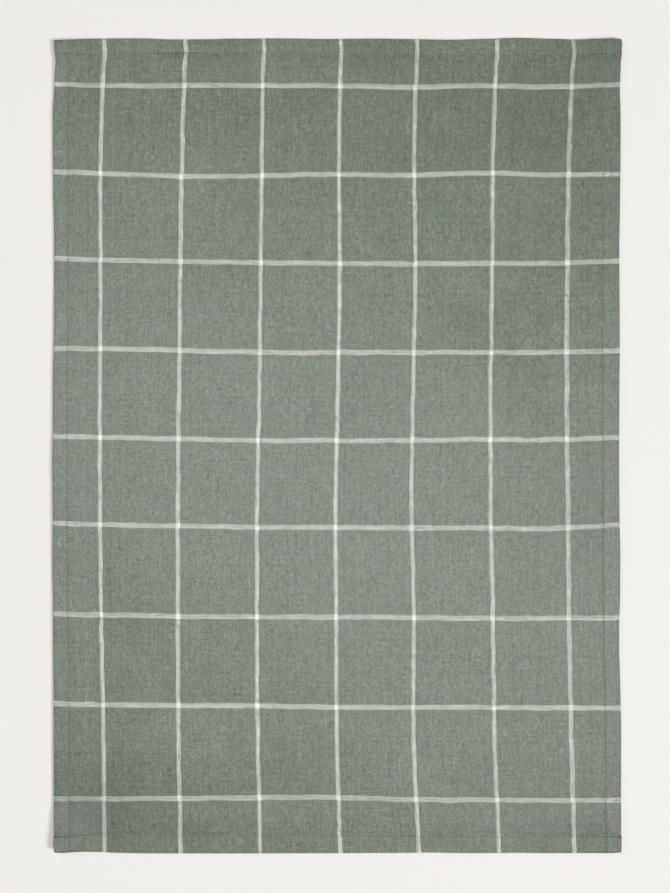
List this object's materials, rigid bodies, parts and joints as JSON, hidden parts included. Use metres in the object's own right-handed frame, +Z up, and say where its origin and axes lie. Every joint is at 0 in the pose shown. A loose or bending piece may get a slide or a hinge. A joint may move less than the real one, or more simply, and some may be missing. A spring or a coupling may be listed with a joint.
{
  "type": "tea towel",
  "caption": "Flat woven cotton tea towel with a windowpane check and narrow double-turned hems on all four sides, lying face up.",
  "frame": {"origin": "on the surface the towel lies on, below the middle of the cloth", "axes": "+X across the towel, +Y along its length, +Z up from the surface towards the face"},
  "size_m": [0.4893, 0.7011, 0.0063],
  "materials": {
    "checked_cotton": "matt plain weave, sage green with fine off-white windowpane lines"
  },
  "bodies": {
    "root": {"towel_cloth": "checked_cotton"}
  },
  "joints": []
}
